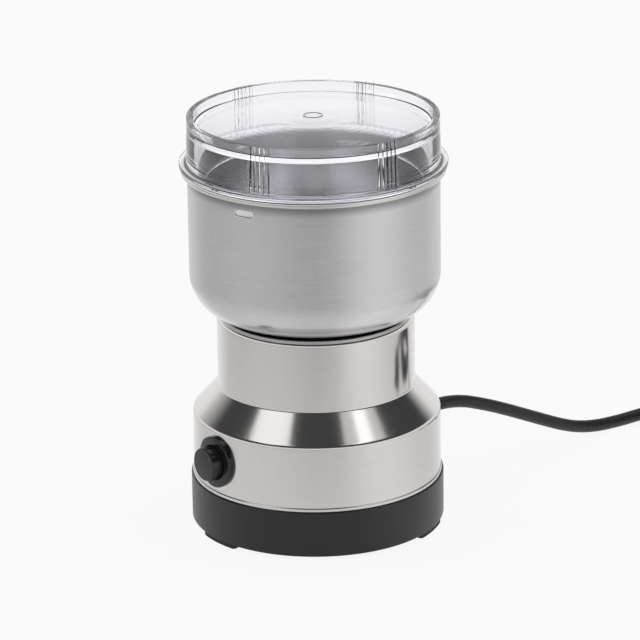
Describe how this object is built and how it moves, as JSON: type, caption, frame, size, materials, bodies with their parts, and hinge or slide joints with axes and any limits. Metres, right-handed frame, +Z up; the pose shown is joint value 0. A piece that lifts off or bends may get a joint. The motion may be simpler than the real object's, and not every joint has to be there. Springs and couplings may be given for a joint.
{
  "type": "electric spice grinder",
  "caption": "Small mains grinder: clear lift-off lid, round steel bowl with a spinning blade, waisted steel motor shell, black base, side push button and mains cord.",
  "frame": {"origin": "on the bowl's axis, on the surface that the feet stand on", "axes": "+Z up along the bowl's axis, the button faces -Y and the cord leaves towards +Y"},
  "size_m": [0.1557, 0.3081, 0.1666],
  "materials": {
    "clear_plastic": "clear moulded plastic with a faint violet tint",
    "bowl_steel": "drawn stainless steel, satin, faint turned lines",
    "shell_steel": "drawn stainless steel, satin to bright",
    "blade_steel": "ground stainless steel",
    "plated_steel": "bright plated steel",
    "lamination": "stacked electrical steel",
    "copper": "enamelled copper",
    "bronze": "sintered bronze",
    "brass": "pressed brass",
    "carbon": "pressed carbon",
    "pale_plastic": "glass-filled nylon",
    "black_plastic": "moulded black plastic",
    "base_plastic": "satin black moulding",
    "button_plastic": "glossy black moulding",
    "rubber": "black rubber",
    "wire_sheath": "blue wire sheath",
    "cord_sheath": "black soft plastic sheath",
    "tie_strap": "woven strap"
  },
  "bodies": {
    "housing": {"bowl": "bowl_steel", "bowl_gasket": "rubber", "bowl_bush": "bronze", "bush_nut": "plated_steel", "shaft_seal": "rubber", "motor_stator": "lamination", "field_coils": "copper", "motor_frame": "pale_plastic", "lower_bracket": "pale_plastic", "lower_bearing": "bronze", "stator_bolts": "plated_steel", "brush_holders": "brass", "carbon_brushes": "carbon", "steel_shell": "shell_steel", "base_housing": "base_plastic", "rubber_feet": "rubber", "base_screws": "plated_steel", "button_bezel": "button_plastic", "bezel_nut": "plated_steel", "button_spring": "plated_steel", "switch_body": "black_plastic", "switch_terminals": "brass", "inner_leads": "wire_sheath", "cord_relief": "cord_sheath", "cord_lead": "cord_sheath", "cord_coil": "cord_sheath", "cord_tail": "cord_sheath", "cord_tie": "tie_strap", "plug_body": "cord_sheath", "plug_pins": "plated_steel"},
    "lid": {"lid_cover": "clear_plastic"},
    "rotor": {"motor_shaft": "plated_steel", "armature_core": "lamination", "armature_winding": "copper", "commutator": "copper", "cooling_fan": "black_plastic", "blade": "blade_steel", "blade_driver": "black_plastic", "blade_nut": "blade_steel"},
    "button": {"button_cap": "button_plastic", "switch_plunger": "pale_plastic"}
  },
  "joints": [
    {"name": "lid_lift", "type": "slide", "parent": "housing", "child": "lid", "axis": [0, 0, 1], "range_m": [0, 0.08]},
    {"name": "blade_spin", "type": "hinge", "parent": "housing", "child": "rotor", "pos_m": [0, 0, 0.095], "axis": [0, 0, 1], "continuous": true},
    {"name": "button_press", "type": "slide", "parent": "housing", "child": "button", "axis": [0, 1, 0], "range_m": [0, 0.003], "stiffness_N_per_m": 300, "springref_m": -0.004, "deforming": ["button_spring"]}
  ]
}
